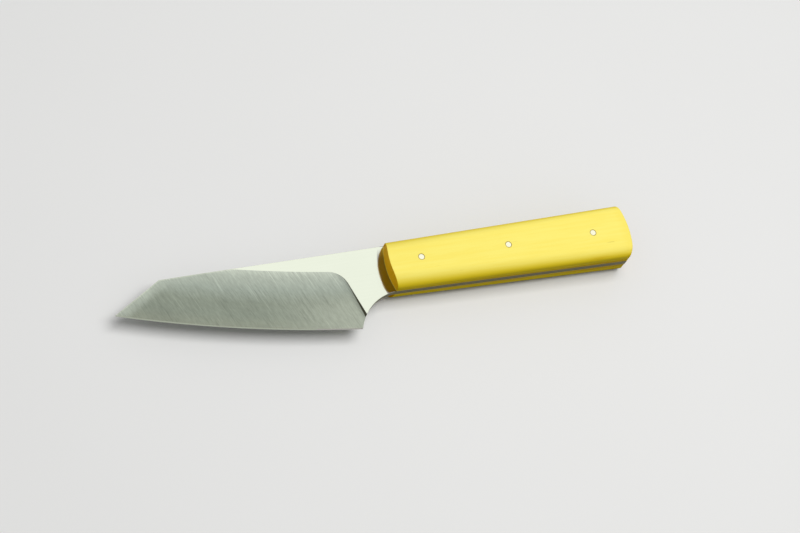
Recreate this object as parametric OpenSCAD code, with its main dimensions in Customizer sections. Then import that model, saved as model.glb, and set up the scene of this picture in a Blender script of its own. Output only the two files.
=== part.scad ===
// Kiritsuke knife with a full tang handle. It lies on its right scale, with its left side up.
// The tip points to -X, the butt to +X, the spine to +Y and the cutting edge to -Y.
// The origin is under the middle of the knife's box, on the surface that it lies on.

/* [Blade] */
// Length from the tip to the heel, along the spine
blade_len = 104.5; // [85:0.5:125]
// Depth of the blade at the heel
blade_h = 36.3; // [33:0.1:42]
// How far the tip lies below the spine
tip_drop = 12.8; // [8:0.1:18]
// Angle between the clipped tip line and the spine
clip_angle = 30.2; // [24:0.1:40]
// Radius of the bowed cutting edge, seen from the side
edge_r = 571; // [400:1:900]
// Thickness of the blade and tang
blade_t = 3; // [2:0.1:4]

/* [Bevel] */
// Width of the ground bevel, from the cutting edge to the grind line
bevel_w = 26.7; // [20:0.1:30]
// Width of the fine sharpened bevel at the cutting edge
micro_w = 0.5; // [0.2:0.05:1]
// Thickness of the steel where the fine bevel starts
micro_t = 0.3; // [0.2:0.05:0.6]
// Radius of the corner where the grind line turns down towards the heel
corner_r = 9.5; // [3:0.5:14]
// Lean of the plunge line away from square to the spine
plunge_lean = 15.6; // [5:0.1:22]
// Distance from the heel back to the plunge line, along the spine
plunge_back = 4.9; // [4:0.1:8]
// Slope of the plunge wall, measured from upright
plunge_slope = 35; // [10:1:45]

/* [Handle] */
// Length of the handle along its middle, from front to butt
handle_len = 115; // [100:1:130]
// Distance from the heel to the front of the handle, along the spine
neck_len = 17.7; // [15:0.1:26]
// Height of the handle at its front
front_h = 22; // [18:0.1:25]
// Height of the handle at the butt
butt_h = 24.9; // [20:0.1:30]
// Radius of the notch between heel and handle
choil_r = 21.4; // [19:0.1:30]
// Radius of the bowed front of the scales
front_r = 35.4; // [25:0.1:60]
// Lean of the front of the scales, forward over the blade
front_lean = 4.5; // [0:0.5:8]
// Radius of the bowed butt
butt_r = 40; // [25:0.5:80]
// Thickness of each scale
scale_t = 8.3; // [7:0.1:10]
// Radius of the long rounded edges of the scales
round_r = 5; // [2:0.1:6]

/* [Pins and glue] */
// Diameter of the pins
pin_d = 3; // [2:0.1:5]
// Distance from the front of the handle to the front pin
front_setback = 14.2; // [8:0.1:20]
// Distance from the butt to the rear pin
rear_setback = 17.9; // [10:0.1:24]
// Thickness of the glue film between tang and scale
film_t = 0.1; // [0.05:0.01:0.3]
// Clearance round each pin, which the glue fills
pin_gap = 0.1; // [0.05:0.01:0.3]

/* [Hidden] */
$fn = 96;
// Facets of the very large arcs of edge and bevel
fine_fn = 1440;
// Steel left outside the cutting edge until the bevels take it off
spare = 1;
// How far a round wall laps over the flat wall that it runs into, so that the two cross cleanly
lap = 0.02;
steel = [0.74, 0.76, 0.73];
yellow_wood = [0.96, 0.84, 0.30];
pin_metal = [0.88, 0.88, 0.84];
clear_glue = [0.62, 0.56, 0.36];

// All plan sizes are in the knife's own plan: x runs from the tip to the butt, y = 0 is the spine
// and z = 0 is the middle of the steel.
tip = [0, -tip_drop];
heel = [blade_len, -blade_h];
clip_x = tip_drop / tan(clip_angle);
front_x = blade_len + neck_len;
butt_x = front_x + handle_len;
total_t = blade_t + 2 * (film_t + scale_t);

// The cutting edge is an arc through tip and heel, and the bevel is a cone about the same centre
edge_chord = heel - tip;
edge_up = [-edge_chord.y, edge_chord.x] / norm(edge_chord);
edge_c = (tip + heel) / 2 + edge_up * sqrt(pow(edge_r, 2) - pow(norm(edge_chord) / 2, 2));
grind_r = edge_r - bevel_w;

// The belly of the handle is a straight line, and the notch runs from the heel smoothly into it
flare = atan((butt_h - front_h) / handle_len);
belly_dir = [cos(flare), -sin(flare)];
belly_out = [-sin(flare), -cos(flare)];
notch_base = [front_x, -front_h] + (choil_r - lap) * belly_out;
from_heel = notch_base - heel;
along = from_heel * belly_dir;
choil_c = notch_base + (sqrt(pow(along, 2) - from_heel * from_heel + pow(choil_r, 2)) - along) * belly_dir;
notch_end = choil_c - (choil_r - lap) * belly_out;

// Centre of the rounded corner between grind line and plunge line
plunge_dir = [sin(plunge_lean), -cos(plunge_lean)];
plunge_out = [cos(plunge_lean), sin(plunge_lean)];
corner_base = heel + [plunge_back, 0] - corner_r * plunge_out;
from_edge_c = corner_base - edge_c;
down = from_edge_c * plunge_dir;
corner_reach = sqrt(pow(down, 2) - from_edge_c * from_edge_c + pow(grind_r + corner_r, 2));
corner_c = corner_base + (corner_reach - down) * plunge_dir;
corner_turn = atan2(edge_c.y - corner_c.y, edge_c.x - corner_c.x) - 90;

pin_pitch = (handle_len - front_setback - rear_setback) / 2;

// Height of the handle's belly line at x
function belly_y(x) = -front_h - (x - front_x) * tan(flare);

// Place of pin i in plan, on the middle line of the handle
function pin_x(i) = front_x + front_setback + i * pin_pitch;
function pin_place(i) = [pin_x(i), belly_y(pin_x(i)) / 2];

// Moves what is drawn in the knife's own plan to the resting place
module placed() {
    translate([-butt_x / 2, blade_h / 2, total_t / 2]) children();
}

// Outline of the blade and neck, with spare steel outside the cutting edge
module blade_plan() {
    low = -blade_h - 2 * spare;
    intersection() {
        polygon([[clip_x, 0], [notch_end.x, 0], [notch_end.x, low], [clip_x + low / tan(clip_angle), low]]);
        translate(edge_c) circle(r = edge_r + spare, $fn = fine_fn);
    }
}

// Plan of all that lies behind the bowed front of the scales
module front_bow() {
    translate([front_x + front_r, -front_h / 2]) {
        circle(r = front_r);
        translate([0, -butt_h]) square([handle_len, 2 * butt_h]);
    }
}

// Plan of all that lies ahead of the bowed butt
module butt_bow() {
    translate([butt_x - butt_r, -butt_h / 2]) {
        circle(r = butt_r);
        translate([-handle_len, -butt_h]) square([handle_len, 2 * butt_h]);
    }
}

// Outline of the tang behind the notch
module tang_plan() {
    intersection() {
        polygon([[notch_end.x, 0], [butt_x, 0], [butt_x, belly_y(butt_x)], notch_end]);
        butt_bow();
    }
}

// Outline of the whole steel plate
module knife_plan() {
    difference() {
        union() {
            blade_plan();
            tang_plan();
        }
        translate(choil_c) circle(r = choil_r);
    }
}

// Holes for the three pins and their glue, through everything
module pin_holes() {
    for (i = [0:2])
        translate(pin_place(i)) cylinder(h = total_t + 2 * spare, d = pin_d + 2 * pin_gap, center = true);
}

// What the grinder can reach: everything ahead of the plunge wall and its rounded corner
module ground_zone() {
    wide = bevel_w + corner_r;
    deep = wide + blade_t;
    translate([corner_c.x, corner_c.y, blade_t / 2]) {
        rotate([0, 0, corner_turn]) translate([-edge_r, -wide, -deep]) cube([edge_r, 2 * wide, 2 * deep]);
        translate([0, 0, -blade_t])
            cylinder(
                h = 2 * blade_t,
                r1 = corner_r - blade_t * tan(plunge_slope),
                r2 = corner_r + blade_t * tan(plunge_slope)
            );
        rotate([0, 0, plunge_lean]) translate([corner_r - lap, 0, 0]) rotate([0, plunge_slope, 0])
            translate([-wide, -wide, -deep]) cube([wide, wide, deep + blade_t]);
    }
}

// Steel taken off above the left bevel and the fine bevel at the edge
module bevel_waste() {
    past = 2 * spare;
    intersection() {
        translate([edge_c.x, edge_c.y, 0]) rotate_extrude($fn = fine_fn) polygon([
            [grind_r, blade_t / 2],
            [edge_r - micro_w, micro_t / 2],
            [edge_r + past, -past * micro_t / 2 / micro_w],
            [edge_r + past, blade_t],
            [grind_r, blade_t]
        ]);
        ground_zone();
    }
}

// Side view of a scale at one long edge: x runs in from the edge and y out from the tang
module edge_section() {
    difference() {
        square([2 * butt_h, scale_t]);
        difference() {
            translate([-spare, scale_t - round_r]) square(round_r + spare);
            translate([round_r, scale_t - round_r]) circle(r = round_r);
        }
    }
}

// All that lies behind the leaning front of a scale
module scale_front() {
    top = scale_t + spare;
    translate([front_x + front_r, -front_h / 2, -spare]) {
        cylinder(h = top + spare, r1 = front_r - spare * tan(front_lean), r2 = front_r + top * tan(front_lean));
        translate([0, -butt_h, 0]) cube([handle_len, 2 * butt_h, top + spare]);
    }
}

// A scale on its inner face: rounded along spine and belly, bowed at both ends
module scale_body() {
    run = neck_len + handle_len;
    difference() {
        intersection() {
            translate([blade_len, 0, 0]) mirror([0, 1, 0]) rotate([90, 0, 90]) linear_extrude(run) edge_section();
            translate([front_x, -front_h, 0]) rotate([0, 0, -flare]) translate([-neck_len, 0, 0])
                rotate([90, 0, 90]) linear_extrude(run + neck_len) edge_section();
            scale_front();
            translate([0, 0, -spare]) linear_extrude(scale_t + 2 * spare) butt_bow();
        }
        pin_holes();
    }
}

// A glue film on the left face of the tang
module film_body() {
    difference() {
        linear_extrude(film_t) intersection() {
            knife_plan();
            front_bow();
        }
        pin_holes();
    }
}

// A solid pin, flush with both scales
module pin(i) {
    color(pin_metal) placed() translate(pin_place(i)) cylinder(h = total_t, d = pin_d, center = true);
}

// The sleeve of glue round pin i
module pin_glue(i) {
    color(clear_glue) placed() translate(pin_place(i)) difference() {
        cylinder(h = total_t, d = pin_d + 2 * pin_gap, center = true);
        cylinder(h = total_t + 2 * spare, d = pin_d, center = true);
    }
}

module blade() {
    color(steel) placed() difference() {
        linear_extrude(blade_t, center = true) knife_plan();
        bevel_waste();
        mirror([0, 0, 1]) bevel_waste();
        pin_holes();
    }
}

module left_scale() {
    color(yellow_wood) placed() translate([0, 0, blade_t / 2 + film_t]) scale_body();
}

module right_scale() {
    color(yellow_wood) placed() mirror([0, 0, 1]) translate([0, 0, blade_t / 2 + film_t]) scale_body();
}

module left_bond() {
    color(clear_glue) placed() translate([0, 0, blade_t / 2]) film_body();
}

module right_bond() {
    color(clear_glue) placed() mirror([0, 0, 1]) translate([0, 0, blade_t / 2]) film_body();
}

module front_pin() {
    pin(0);
}

module middle_pin() {
    pin(1);
}

module rear_pin() {
    pin(2);
}

module front_pin_bond() {
    pin_glue(0);
}

module middle_pin_bond() {
    pin_glue(1);
}

module rear_pin_bond() {
    pin_glue(2);
}

blade();
left_scale();
right_scale();
left_bond();
right_bond();
front_pin();
middle_pin();
rear_pin();
front_pin_bond();
middle_pin_bond();
rear_pin_bond();
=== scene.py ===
"""Looks of a kiritsuke knife with a full tang handle of yellow wood.

Every piece is modelled in millimetres in the maker's plan, where x runs from the tip to the butt,
y = 0 is the spine and z = 0 is the middle of the steel. It is then laid in the frame, in metres.
"""

import logging
import math
from dataclasses import dataclass, field
from enum import Enum
from typing import Any, Callable, Sequence

import bmesh
import bpy
from mathutils import Matrix, Vector

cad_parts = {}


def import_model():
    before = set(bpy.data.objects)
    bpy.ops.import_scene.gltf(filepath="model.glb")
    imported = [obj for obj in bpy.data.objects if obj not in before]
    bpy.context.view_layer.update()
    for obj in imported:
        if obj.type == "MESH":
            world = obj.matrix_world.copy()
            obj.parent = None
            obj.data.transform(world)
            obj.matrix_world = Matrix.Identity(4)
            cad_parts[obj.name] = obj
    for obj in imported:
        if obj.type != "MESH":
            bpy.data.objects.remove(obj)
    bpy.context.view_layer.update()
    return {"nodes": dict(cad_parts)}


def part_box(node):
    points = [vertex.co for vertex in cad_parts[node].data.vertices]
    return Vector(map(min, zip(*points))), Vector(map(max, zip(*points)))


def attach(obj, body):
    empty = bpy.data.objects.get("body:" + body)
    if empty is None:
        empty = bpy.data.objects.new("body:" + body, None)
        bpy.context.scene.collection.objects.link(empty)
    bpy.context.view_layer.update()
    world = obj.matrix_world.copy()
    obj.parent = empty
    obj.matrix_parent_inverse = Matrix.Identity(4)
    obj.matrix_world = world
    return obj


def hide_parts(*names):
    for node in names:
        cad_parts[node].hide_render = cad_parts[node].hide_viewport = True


MM = 0.001
BODY = "root"
LOG = logging.getLogger("knife")

# Millimetres within which points are joined or levelled, and a margin for tests of place.
MESH_GAP = 0.002
LEVEL_GAP = 0.004
DRILL_GAP = 0.01
WHEEL_GAP = 0.08
END_GAP = 0.1
NEAR = 0.01

ROUND_SIDES = 64
RIM_SEGMENTS = 4
SHARP_TURN = math.radians(30)

Point = tuple[float, float, float]
Span = tuple[float, float]
Weights = tuple[float, ...]
Colour = tuple[float, float, float, float]
Stops = list[tuple[float, Colour]]
Looks = dict[str, Any]
Materials = list[bpy.types.Material]
Test = Callable[[Any], bool]


class Slot(Enum):
    """Names of material slots for the pieces modelled here; nothing in this script uses them."""

    STEEL = "blade_steel"
    WOOD = "yellow_wood"
    PIN = "pin_steel"


class Side(Enum):
    """The two sides of the tang."""

    LEFT = "left"
    RIGHT = "right"


def turned(angle: float) -> Vector:
    """Returns the plan direction at an angle from the x axis, in radians."""
    return Vector((math.cos(angle), math.sin(angle)))


def flat(point: Any) -> Vector:
    """Returns a point's place in plan."""
    return Vector((point[0], point[1]))


def at(place: Vector, height: float) -> Point:
    """Returns a place in plan as a point at a height."""
    return (place.x, place.y, height)


# ---- Shaders


class Signal:
    """A value that changes over a surface: a shader socket with arithmetic."""

    def __init__(self, sheet: "ShaderSheet", socket: bpy.types.NodeSocket) -> None:
        """Wraps an output socket of a shader."""
        self.sheet = sheet
        self.socket = socket

    def _math(self, operation: str, first: Any, second: Any) -> "Signal":
        """Returns the result of one Math node."""
        return self.sheet.node("ShaderNodeMath", {"operation": operation}, {0: first, 1: second})

    def __add__(self, other: Any) -> "Signal":
        """Returns self + other."""
        return self._math("ADD", self, other)

    def __sub__(self, other: Any) -> "Signal":
        """Returns self - other."""
        return self._math("SUBTRACT", self, other)

    def __rsub__(self, other: Any) -> "Signal":
        """Returns other - self."""
        return self._math("SUBTRACT", other, self)

    def __mul__(self, other: Any) -> "Signal":
        """Returns self * other."""
        return self._math("MULTIPLY", self, other)

    __radd__ = __add__
    __rmul__ = __mul__

    def largest(self, other: Any) -> "Signal":
        """Returns the larger of two values."""
        return self._math("MAXIMUM", self, other)

    def smallest(self, other: Any) -> "Signal":
        """Returns the smaller of two values."""
        return self._math("MINIMUM", self, other)

    def between(self, low: float, high: float) -> "Signal":
        """Returns a mask that rises smoothly from 0 at low to 1 at high."""
        settings = {"interpolation_type": "SMOOTHSTEP"}
        links = {"Value": self, "From Min": low, "From Max": high}
        return self.sheet.node("ShaderNodeMapRange", settings, links)


class ShaderSheet:
    """A node tree that is filled in step by step."""

    def __init__(self, tree: bpy.types.NodeTree) -> None:
        """Clears the node tree of a material or world."""
        self.tree = tree
        tree.nodes.clear()

    def node(self, kind: str, settings: Looks, links: dict[Any, Any], output: Any = 0) -> Signal:
        """Adds one node.

        Args:
            kind: the node's type.
            settings: its own settings, set first; "stops" fills a colour ramp.
            links: values or signals of its inputs, by name, identifier or number.
            output: name, identifier or number of the output to return.

        Returns:
            The wanted output.
        """
        made = self.tree.nodes.new(kind)
        for name, value in settings.items():
            if name == "stops":
                self._fill_ramp(made.color_ramp, value)
            else:
                setattr(made, name, value)
        for key, value in links.items():
            socket = self._socket(made.inputs, key)
            if isinstance(value, Signal):
                self.tree.links.new(value.socket, socket)
            else:
                socket.default_value = value
        return Signal(self, self._socket(made.outputs, output) if len(made.outputs) else None)

    @staticmethod
    def _socket(sockets: Any, key: Any) -> bpy.types.NodeSocket:
        """Returns the socket with a given number, identifier or name."""
        if isinstance(key, int):
            return sockets[key]
        for socket in sockets:
            if socket.identifier == key:
                return socket
        return sockets[key]

    @staticmethod
    def _fill_ramp(ramp: bpy.types.ColorRamp, stops: Stops) -> None:
        """Puts the stops in a colour ramp."""
        while len(ramp.elements) > 1:
            ramp.elements.remove(ramp.elements[-1])
        ramp.elements[0].position, ramp.elements[0].color = stops[0]
        for position, colour in stops[1:]:
            ramp.elements.new(position).color = colour

    def spot(self) -> Signal:
        """Returns Object coordinates, in metres."""
        return self.node("ShaderNodeTexCoord", {}, {}, "Object")

    def place(self, turn: float = 0.0, stretch: Point = (1.0, 1.0, 1.0)) -> Signal:
        """Returns Object coordinates turned about z, in radians, then stretched."""
        rotation = {"Vector": self.spot(), "Rotation": (0.0, 0.0, turn)}
        spun = self.node("ShaderNodeMapping", {}, rotation)
        return self.node("ShaderNodeMapping", {}, {"Vector": spun, "Scale": stretch})

    def noise(self, where: Signal, scale: float, detail: float = 2.0, rough: float = 0.5) -> Signal:
        """Returns noise about 0.5: scale cells to a unit, in octaves that lose weight by rough."""
        values = {"Vector": where, "Scale": scale, "Detail": detail, "Roughness": rough}
        return self.node("ShaderNodeTexNoise", {}, values, "Fac")

    def streaks(self, turn: float, stretch: Point, detail: float, rough: float = 0.5) -> Signal:
        """Returns noise on coordinates that are turned and stretched."""
        return self.noise(self.place(turn, stretch), 1.0, detail, rough)

    def mix(self, share: Any, first: Any, second: Any) -> Signal:
        """Returns a colour between first, at share 0, and second, at share 1."""
        links = {"Factor_Float": share, "A_Color": first, "B_Color": second}
        return self.node("ShaderNodeMix", {"data_type": "RGBA"}, links, "Result_Color")

    def ramp(self, share: Signal, stops: Stops) -> Signal:
        """Returns the colour of a ramp at a share."""
        return self.node("ShaderNodeValToRGB", {"stops": stops}, {"Fac": share}, "Color")

    def scaled(self, colour: Any, amount: Signal) -> Signal:
        """Returns a colour made lighter or darker by an amount."""
        links = {"Vector": colour, "Scale": amount}
        return self.node("ShaderNodeVectorMath", {"operation": "SCALE"}, links)

    def distance(self, point: Point) -> Signal:
        """Returns the distance from a point of the frame, in metres."""
        links = {0: self.spot(), 1: point}
        return self.node("ShaderNodeVectorMath", {"operation": "DISTANCE"}, links, "Value")

    def beyond(self, point: Point, way: Point) -> Signal:
        """Returns how far a place lies beyond a point in a direction of length 1, in metres."""
        links = {0: self.spot(), 1: point}
        links = {0: self.node("ShaderNodeVectorMath", {"operation": "SUBTRACT"}, links), 1: way}
        return self.node("ShaderNodeVectorMath", {"operation": "DOT_PRODUCT"}, links, "Value")

    def axis(self, name: str) -> Signal:
        """Returns the X, Y or Z coordinate, in metres."""
        return self.node("ShaderNodeSeparateXYZ", {}, {"Vector": self.spot()}, name)

    def bump(self, height: Signal, depth: float, strength: float) -> Signal:
        """Returns a normal bent by a height of a given depth in metres."""
        links = {"Height": height, "Distance": depth, "Strength": strength}
        return self.node("ShaderNodeBump", {}, links)

    def shown(self) -> Signal:
        """Returns 1 for what is seen, also in metal or glass, and 0 for light thrown on things."""
        camera, glossy, through = (
            self.node("ShaderNodeLightPath", {}, {}, f"Is {ray} Ray")
            for ray in ("Camera", "Glossy", "Transmission")
        )
        return camera.largest(glossy).largest(through)


def weighed(base: Any, signals: Sequence[Signal], weights: Sequence[float]) -> Signal:
    """Returns a base level plus each signal times its weight."""
    total = base
    for signal, weight in zip(signals, weights, strict=True):
        total = signal * weight + total
    return total


def grey(level: float) -> Colour:
    """Returns a grey of a linear level."""
    return (level, level, level, 1.0)


def tint(red: float, green: float, blue: float) -> Colour:
    """Returns a linear colour."""
    return (red, green, blue, 1.0)


@dataclass(frozen=True)
class Finish:
    """A procedural material: one principled shader, which each kind fills in its own way."""

    name: str

    def looks(self, sheet: ShaderSheet) -> Looks:
        """Returns what goes into the principled shader, as values or signals."""
        raise NotImplementedError

    def material(self) -> bpy.types.Material:
        """Returns the finished material."""
        material = bpy.data.materials.new(self.name)
        material.use_nodes = True
        sheet = ShaderSheet(material.node_tree)
        shader = sheet.node("ShaderNodeBsdfPrincipled", {}, self.looks(sheet))
        sheet.node("ShaderNodeOutputMaterial", {}, {"Surface": shader})
        return material


@dataclass(frozen=True)
class PolishedSteel(Finish):
    """Steel rubbed nearly to a mirror, with faint lengthwise lines, and a painted reflection of the
    handle's dark front on the steel close to the handle.
    """

    light: Colour = tint(0.87, 0.915, 0.775)
    dull: Colour = tint(0.815, 0.865, 0.72)
    # by_handle is a painted reflection: the handle's dark front mirrored in the steel.
    by_handle: Colour = tint(0.37, 0.36, 0.33)
    tone_weights: Weights = (0.5, 0.5)
    roughness: float = 0.09
    roughness_weights: Weights = (0.03, 0.02)
    line_stretch: Point = (30.0, 2400.0, 30.0)
    line_depth: float = 0.0000006
    line_strength: float = 0.35
    cloud_scale: float = 60.0
    handle_centre: Point = (0.0, 0.0, 0.0)
    handle_radius: float = 0.035
    strip_ends: Span = (0.00232, 0.0029)
    strip_widening: float = 0.08
    strip_fade: Span = (0.0003, 0.006)
    spine_y: float = 0.0

    def looks(self, sheet: ShaderSheet) -> Looks:
        """Returns the steel's looks."""
        lines = sheet.streaks(0.0, self.line_stretch, 3.0)
        clouds = sheet.noise(sheet.place(), self.cloud_scale)
        below = self.spine_y - sheet.axis("Y")
        ahead = sheet.distance(self.handle_centre) - self.handle_radius
        # Painted reflection of the handle's front: dark just ahead of the handle, fading out
        # towards the spine.
        handle_reflection = 1 - (ahead - below * self.strip_widening).between(*self.strip_ends)
        handle_reflection = handle_reflection * below.between(*self.strip_fade)
        tone = weighed(0.0, (clouds, lines), self.tone_weights)
        bright = sheet.mix(tone, self.dull, self.light)
        return {
            "Base Color": sheet.mix(handle_reflection, bright, self.by_handle),
            "Metallic": 1.0,
            "Roughness": weighed(self.roughness, (clouds, lines), self.roughness_weights),
            "Normal": sheet.bump(lines, self.line_depth, self.line_strength),
        }


@dataclass(frozen=True)
class GroundSteel(Finish):
    """Satin steel from the belt, scratched along the plunge line. Its tones by depth and place are
    painted reflection, darker below the middle and paler near the heel and the clip, with a painted
    highlight along the rims of spine and clip and painted shade low near the tip and by the plunge
    wall.

    Depths run from 0 at the grind line to 1 at the cutting edge.
    """

    # rim is a painted highlight; crest, upper, middle, lower, edge and heel are painted reflection
    # tones.
    rim: Colour = tint(0.78, 0.82, 0.68)
    crest: Colour = tint(0.555, 0.60, 0.51)
    upper: Colour = tint(0.455, 0.50, 0.425)
    middle: Colour = tint(0.355, 0.40, 0.34)
    lower: Colour = tint(0.265, 0.298, 0.24)
    edge: Colour = tint(0.295, 0.32, 0.252)
    heel: Colour = tint(0.405, 0.44, 0.36)
    tone_depths: Weights = (0.0, 0.1, 0.33, 0.55, 0.78, 1.0)
    level: float = 0.52
    texture_weights: Weights = (0.14, 0.40, 0.46, 0.20, -0.16)
    shade_weights: Weights = (-0.08, -0.26)
    roughness: float = 0.34
    roughness_weights: Weights = (0.10, -0.05)
    scratch_turn: float = 0.0
    fine_turn: float = -0.13
    marks_turn: float = 0.07
    fine_stretch: Point = (2300.0, 420.0, 420.0)
    marks_stretch: Point = (1500.0, 130.0, 130.0)
    bands_stretch: Point = (150.0, 45.0, 45.0)
    scores_stretch: Point = (1800.0, 60.0, 60.0)
    score_mask: Span = (0.62, 0.78)
    scratch_depth: float = 0.000002
    scratch_strength: float = 0.4
    scratch_weights: Weights = (0.5, 1.0)
    centre: Point = (0.0, 0.0, 0.0)
    grind_line: float = 0.5
    width: float = 0.027
    unevenness: float = 0.12
    tip: Point = (0.0, 0.0, 0.0)
    tip_reach: Span = (0.012, 0.05)
    tip_low: Span = (0.55, 0.8)
    tip_share: float = 0.85
    clip_inward: Point = (0.5, -0.87, 0.0)
    clip_pale: Span = (0.0010, 0.0060)
    rim_highlight_reach: Span = (0.0002, 0.0008)
    rim_highlight_share: float = 0.35
    heel_x: float = 0.0
    heel_reach: float = 0.045
    heel_low: Span = (0.2, 0.7)
    heel_share: float = 0.9
    spine_y: float = 0.0
    plunge: Point = (0.0, 0.0, 0.0)
    plunge_out: Point = (1.0, 0.0, 0.0)
    plunge_shade: Span = (-0.0030, -0.0002)

    @property
    def reflection_tones(self) -> Stops:
        """The painted reflection tones by depth."""
        colours = (self.crest, self.upper, self.middle, self.lower, self.lower, self.edge)
        return list(zip(self.tone_depths, colours))

    def looks(self, sheet: ShaderSheet) -> Looks:
        """Returns the steel's looks."""
        turn = self.scratch_turn
        fine = sheet.streaks(turn + self.fine_turn, self.fine_stretch, 2.0, 0.6)
        marks = sheet.streaks(turn + self.marks_turn, self.marks_stretch, 2.0, 0.6)
        bands = sheet.streaks(turn, self.bands_stretch, 3.0)
        scores = sheet.streaks(turn, self.scores_stretch, 1.0)
        bright, dark = scores.between(*self.score_mask), (1 - scores).between(*self.score_mask)
        along = sheet.axis("X")
        depth = (sheet.distance(self.centre) - self.grind_line) * (1 / self.width)
        depth = depth + bands * self.unevenness - self.unevenness / 2
        # Painted reflection: tones by depth, paler near the heel.
        near_heel = along.between(self.heel_x - self.heel_reach, self.heel_x)
        near_heel = near_heel * depth.between(*self.heel_low)
        tone = sheet.mix(near_heel * self.heel_share, sheet.ramp(depth, self.reflection_tones), self.heel)
        # Painted reflection, paler near the clip, and a painted highlight along the rims of spine
        # and clip.
        near_tip = 1 - along.between(*(self.tip[0] + reach for reach in self.tip_reach))
        inward = (self.spine_y - sheet.axis("Y")).smallest(sheet.beyond(self.tip, self.clip_inward))
        clip_reflection = near_tip * (1 - inward.between(*self.clip_pale))
        tone = sheet.mix(clip_reflection * self.tip_share, tone, self.upper)
        tone = sheet.mix((1 - inward.between(*self.rim_highlight_reach)) * self.rim_highlight_share, tone, self.rim)
        # Painted shade by the plunge wall and low near the tip.
        shaded = sheet.beyond(self.plunge, self.plunge_out).between(*self.plunge_shade)
        tip_low = near_tip * depth.between(*self.tip_low)
        scratches = weighed(0.0, (fine, marks), self.scratch_weights)
        level = weighed(self.level, (bands, marks, fine, bright, dark), self.texture_weights)
        level = weighed(level, (tip_low, shaded), self.shade_weights)
        return {
            "Base Color": sheet.scaled(tone, level),
            "Metallic": 1.0,
            "Roughness": weighed(self.roughness, (marks, bright), self.roughness_weights),
            "Normal": sheet.bump(scratches, self.scratch_depth, self.scratch_strength),
        }


@dataclass(frozen=True)
class LinedSteel(Finish):
    """Plain steel with fine lines, which each kind colours in its own way."""

    light: Colour
    dark: Colour
    roughness: float = 0.3
    roughness_weight: float = 0.1
    line_turn: float = 0.0
    line_stretch: Point = (300.0, 300.0, 2500.0)
    line_detail: float = 3.0
    line_depth: float = 0.000002
    line_strength: float = 0.3

    def colour(self, sheet: ShaderSheet, lines: Signal) -> Signal:
        """Returns the steel's colour."""
        raise NotImplementedError

    def looks(self, sheet: ShaderSheet) -> Looks:
        """Returns the steel's looks."""
        lines = sheet.streaks(self.line_turn, self.line_stretch, self.line_detail)
        return {
            "Base Color": self.colour(sheet, lines),
            "Metallic": 1.0,
            "Roughness": self.roughness + lines * self.roughness_weight,
            "Normal": sheet.bump(lines, self.line_depth, self.line_strength),
        }


@dataclass(frozen=True)
class PlungeSteel(LinedSteel):
    """The plunge wall, in painted shade: dark, and darkest towards the heel."""

    light: Colour = tint(0.24, 0.25, 0.20)
    dark: Colour = tint(0.055, 0.055, 0.036)
    level: float = 0.8
    level_weight: float = 0.4
    low_y: float = 0.0
    high_y: float = 0.0

    def colour(self, sheet: ShaderSheet, lines: Signal) -> Signal:
        """Returns the steel's colour, which follows the height in plan."""
        # Painted shade: the wall is dark, darkest towards the heel.
        share = sheet.axis("Y").between(self.low_y, self.high_y)
        tone = sheet.mix(share, self.dark, self.light)
        return sheet.scaled(tone, self.level + lines * self.level_weight)


@dataclass(frozen=True)
class SandedSteel(LinedSteel):
    """Sanded steel of the plate's narrow sides, in painted shade: very dark and brownish."""

    # Painted shade: the narrow sides' tones are very dark and brownish.
    light: Colour = tint(0.132, 0.121, 0.052)
    dark: Colour = tint(0.056, 0.052, 0.020)
    roughness: float = 0.38
    line_stretch: Point = (60.0, 60.0, 4000.0)
    line_depth: float = 0.000003
    line_strength: float = 0.4
    cloud_scale: float = 220.0
    tone_weights: Weights = (0.6, 0.4)

    def colour(self, sheet: ShaderSheet, lines: Signal) -> Signal:
        """Returns the steel's colour, which is clouded."""
        clouds = sheet.noise(sheet.place(), self.cloud_scale, 3.0)
        tone = weighed(0.0, (lines, clouds), self.tone_weights)
        return sheet.mix(tone, self.dark, self.light)


@dataclass(frozen=True)
class PinSteel(LinedSteel):
    """Bright pin ends, rubbed flush with the wood."""

    light: Colour = tint(1.0, 0.99, 0.76)
    dark: Colour = tint(0.95, 0.93, 0.69)
    roughness: float = 0.2
    line_turn: float = 0.35
    line_stretch: Point = (300.0, 6000.0, 300.0)
    line_detail: float = 2.0
    line_mask: Span = (0.3, 0.6)

    def colour(self, sheet: ShaderSheet, lines: Signal) -> Signal:
        """Returns the steel's colour, line by line."""
        return sheet.mix(lines.between(*self.line_mask), self.dark, self.light)


@dataclass(frozen=True)
class Glue(Finish):
    """Hardened epoxy: a thin amber line."""

    light: Colour = tint(1.0, 0.76, 0.20)
    dark: Colour = tint(0.80, 0.56, 0.10)
    roughness: float = 0.3
    gloss: float = 0.05
    cloud_scale: float = 900.0
    cloud_mask: Span = (0.3, 0.7)
    cloud_depth: float = 0.00001
    cloud_strength: float = 0.3
    roughness_weight: float = 0.15

    def looks(self, sheet: ShaderSheet) -> Looks:
        """Returns the glue's looks."""
        clouds = sheet.noise(sheet.place(), self.cloud_scale, 3.0)
        return {
            "Base Color": sheet.mix(clouds.between(*self.cloud_mask), self.dark, self.light),
            "Specular IOR Level": self.gloss,
            "Roughness": self.roughness + clouds * self.roughness_weight,
            "Normal": sheet.bump(clouds, self.cloud_depth, self.cloud_strength),
        }


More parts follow.
